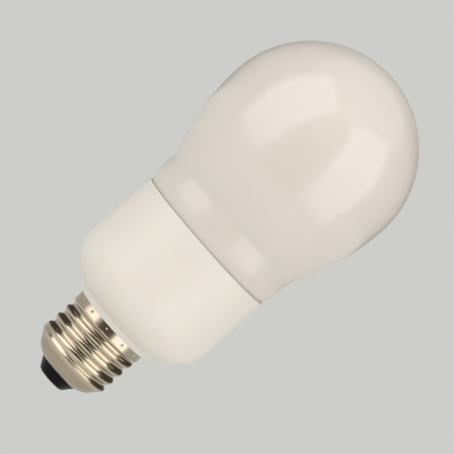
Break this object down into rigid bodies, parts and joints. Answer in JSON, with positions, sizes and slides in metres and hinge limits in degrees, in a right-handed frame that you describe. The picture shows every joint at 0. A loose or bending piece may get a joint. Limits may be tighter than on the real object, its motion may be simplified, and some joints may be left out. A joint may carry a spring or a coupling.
{
  "type": "globe energy saving bulb",
  "caption": "Globe-shaped compact fluorescent lamp: opal glass globe on a domed plastic ballast housing with a threaded metal screw cap.",
  "frame": {"origin": "on the lamp's axis, in the plane of the centre contact's outer face", "axes": "+Z along the axis, from the screw cap towards the globe; -Y is the side that the picture shows"},
  "size_m": [0.064, 0.064, 0.1348],
  "materials": {
    "opal_glass": "glossy opal (milky) glass that can't be seen into",
    "cement": "matt white cement",
    "holder_plastic": "white moulded plastic",
    "housing_plastic": "satin warm white moulded plastic",
    "nickel_cap": "bright nickel plating on rolled sheet",
    "black_glass": "glossy black glass",
    "contact_metal": "bright plated contact",
    "board": "tan resin-bonded paper board",
    "tinned_metal": "bright tin and solder",
    "ferrite": "dark grey ferrite",
    "bobbin_plastic": "black moulded plastic",
    "enamelled_copper": "varnished copper wire",
    "can_sleeve": "dark shrink sleeve",
    "black_resin": "black moulded resin",
    "resistor_body": "buff lacquer",
    "diode_glass": "blue glass body",
    "ceramic_coat": "blue dipped coat",
    "fuse_body": "grey-green flameproof coat",
    "red_insulation": "red insulated wire",
    "black_insulation": "black insulated wire",
    "film_coat": "dark red dipped coat"
  },
  "bodies": {
    "root": {"globe": "opal_glass", "globe_cement": "cement", "globe_holder": "holder_plastic", "housing": "housing_plastic", "screw_cap": "nickel_cap", "cap_insulator": "black_glass", "centre_contact": "contact_metal", "ballast_board": "board", "solder_joints": "tinned_metal", "choke_core": "ferrite", "choke_bobbin": "bobbin_plastic", "choke_winding": "enamelled_copper", "electrolytic_capacitor": "can_sleeve", "toroid_core": "ferrite", "toroid_windings": "enamelled_copper", "inductor_core": "ferrite", "inductor_winding": "enamelled_copper", "rectifier_diodes": "black_resin", "resistors": "resistor_body", "diac": "diode_glass", "ceramic_capacitor": "ceramic_coat", "wrap_pins": "tinned_metal", "lamp_leads": "tinned_metal", "fusible_resistor": "fuse_body", "line_wire": "red_insulation", "neutral_wire": "black_insulation", "transistor_high_side": "black_resin", "transistor_low_side": "black_resin", "resonant_capacitor": "film_coat", "coupling_capacitor": "film_coat"}
  },
  "joints": []
}
